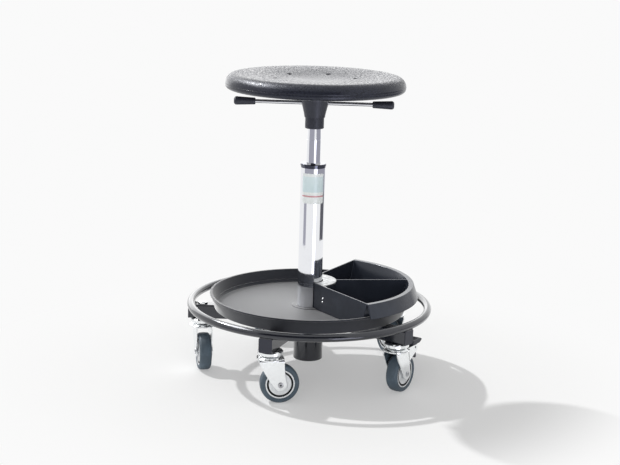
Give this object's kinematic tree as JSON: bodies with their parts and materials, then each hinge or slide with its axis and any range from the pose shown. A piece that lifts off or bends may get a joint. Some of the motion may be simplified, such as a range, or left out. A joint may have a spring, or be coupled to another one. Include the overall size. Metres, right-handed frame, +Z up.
{
  "type": "creeper seat",
  "caption": "Height-adjustable rolling workshop seat: round cushion on a gas column, five-leg castor base with foot ring, tool tray and lift-out tool box.",
  "frame": {"origin": "point on the floor under the middle of the column and of the foot ring", "axes": "+Z up along the column, -X towards the first leg, +X along the right-hand lever"},
  "size_m": [0.4999, 0.5, 0.613],
  "materials": {
    "steel_black": "gloss black powder coat",
    "chrome": "bright chrome plate",
    "zinc": "bright zinc plate",
    "steel": "ground steel",
    "tray_plastic": "moulded, satin",
    "black_plastic": "moulded, satin",
    "grey_plastic": "moulded, satin",
    "cushion": "self-skinned polyurethane foam with a fine leather grain",
    "tyre": "non-marking rubber",
    "board": "plain plywood"
  },
  "bodies": {
    "base": {"hub_tube": "steel_black", "leg_1": "steel_black", "leg_2": "steel_black", "leg_3": "steel_black", "leg_4": "steel_black", "leg_5": "steel_black", "leg_plugs": "black_plastic", "foot_ring": "steel_black", "tray": "tray_plastic", "column_tube": "chrome", "column_cap": "chrome", "guide_sleeve": "grey_plastic", "thrust_bearing": "steel", "castor_bolts": "zinc", "castor_head_1": "zinc", "castor_head_2": "zinc", "castor_head_3": "zinc", "castor_head_4": "zinc", "castor_head_5": "zinc"},
    "tool_box": {"tool_box": "tray_plastic", "corner_plate": "zinc", "plate_rivets": "zinc"},
    "piston_rod": {"piston_rod": "steel", "retaining_clip": "steel"},
    "seat": {"gas_cylinder": "chrome", "seat_plate": "steel_black", "cone_cover": "black_plastic", "collar": "black_plastic", "seat_board": "board", "seat_cushion": "cushion", "seat_screws": "zinc", "lever_pins": "steel"},
    "pusher": {"pusher_block": "grey_plastic", "release_pin": "steel"},
    "lever_left": {"lever_left": "chrome", "grip_left": "black_plastic"},
    "lever_right": {"lever_right": "chrome", "grip_right": "black_plastic"},
    "fork_1": {"castor_fork_1": "zinc", "wheel_axle_1": "steel"},
    "wheel_1": {"wheel_rim_1": "grey_plastic", "tyre_1": "tyre"},
    "fork_2": {"castor_fork_2": "zinc", "wheel_axle_2": "steel"},
    "wheel_2": {"wheel_rim_2": "grey_plastic", "tyre_2": "tyre"},
    "fork_3": {"castor_fork_3": "zinc", "wheel_axle_3": "steel"},
    "wheel_3": {"wheel_rim_3": "grey_plastic", "tyre_3": "tyre"},
    "fork_4": {"castor_fork_4": "zinc", "wheel_axle_4": "steel"},
    "wheel_4": {"wheel_rim_4": "grey_plastic", "tyre_4": "tyre"},
    "fork_5": {"castor_fork_5": "zinc", "wheel_axle_5": "steel"},
    "wheel_5": {"wheel_rim_5": "grey_plastic", "tyre_5": "tyre"},
    "pedal": {"brake_pedal": "black_plastic"}
  },
  "joints": [
    {"name": "box_lift", "type": "slide", "parent": "base", "child": "tool_box", "axis": [0, 0, 1], "range_m": [0, 0.07]},
    {"name": "seat_swivel", "type": "hinge", "parent": "base", "child": "piston_rod", "pos_m": [0, 0, 0.07], "axis": [0, 0, 1], "continuous": true},
    {"name": "seat_lift", "type": "slide", "parent": "piston_rod", "child": "seat", "axis": [0, 0, 1], "range_m": [-0.068, 0.132]},
    {"name": "lever_right_lift", "type": "hinge", "parent": "seat", "child": "lever_right", "pos_m": [0.015, 0, 0.5565], "axis": [0, -1, 0], "range_deg": [0, 6], "stiffness_Nm_per_rad": 2, "springref_deg": -11.46},
    {"name": "lever_left_lift", "type": "hinge", "parent": "seat", "child": "lever_left", "pos_m": [-0.015, 0, 0.5565], "axis": [0, 1, 0], "range_deg": [0, 6]},
    {"name": "pusher_press", "type": "slide", "parent": "seat", "child": "pusher", "axis": [0, 0, -1], "range_m": [0, 0.001]},
    {"name": "castor_1_swivel", "type": "hinge", "parent": "base", "child": "fork_1", "pos_m": [-0.219, 0, 0.095], "axis": [0, 0, 1], "continuous": true},
    {"name": "wheel_1_roll", "type": "hinge", "parent": "fork_1", "child": "wheel_1", "pos_m": [-0.2144, -0.01844, 0.0385], "axis": [0.9703, 0.2419, 0], "continuous": true},
    {"name": "castor_2_swivel", "type": "hinge", "parent": "base", "child": "fork_2", "pos_m": [-0.06767, -0.20828, 0.095], "axis": [0, 0, 1], "continuous": true},
    {"name": "wheel_2_roll", "type": "hinge", "parent": "fork_2", "child": "wheel_2", "pos_m": [-0.04909, -0.20433, 0.0385], "axis": [-0.2079, 0.9781, 0], "continuous": true},
    {"name": "castor_3_swivel", "type": "hinge", "parent": "base", "child": "fork_3", "pos_m": [0.17717, -0.12873, 0.095], "axis": [0, 0, 1], "continuous": true},
    {"name": "wheel_3_roll", "type": "hinge", "parent": "fork_3", "child": "wheel_3", "pos_m": [0.18724, -0.11261, 0.0385], "axis": [-0.848, 0.5299, 0], "continuous": true},
    {"name": "castor_4_swivel", "type": "hinge", "parent": "base", "child": "fork_4", "pos_m": [0.17717, 0.12873, 0.095], "axis": [0, 0, 1], "continuous": true},
    {"name": "wheel_4_roll", "type": "hinge", "parent": "fork_4", "child": "wheel_4", "pos_m": [0.16945, 0.14608, 0.0385], "axis": [-0.9135, -0.4067, 0], "continuous": true},
    {"name": "castor_5_swivel", "type": "hinge", "parent": "base", "child": "fork_5", "pos_m": [-0.06767, 0.20828, 0.095], "axis": [0, 0, 1], "continuous": true},
    {"name": "wheel_5_roll", "type": "hinge", "parent": "fork_5", "child": "wheel_5", "pos_m": [-0.08553, 0.20178, 0.0385], "axis": [0.342, -0.9397, 0], "continuous": true},
    {"name": "brake_press", "type": "hinge", "parent": "fork_3", "child": "pedal", "pos_m": [0.20208, -0.08887, 0.087], "axis": [-0.848, 0.5299, 0], "range_deg": [0, 8]}
  ],
  "couplings": [
    {"joint": "lever_left_lift", "follows": "lever_right_lift", "ratio": 1},
    {"joint": "pusher_press", "follows": "lever_right_lift", "m_per_rad": 0.0093}
  ]
}
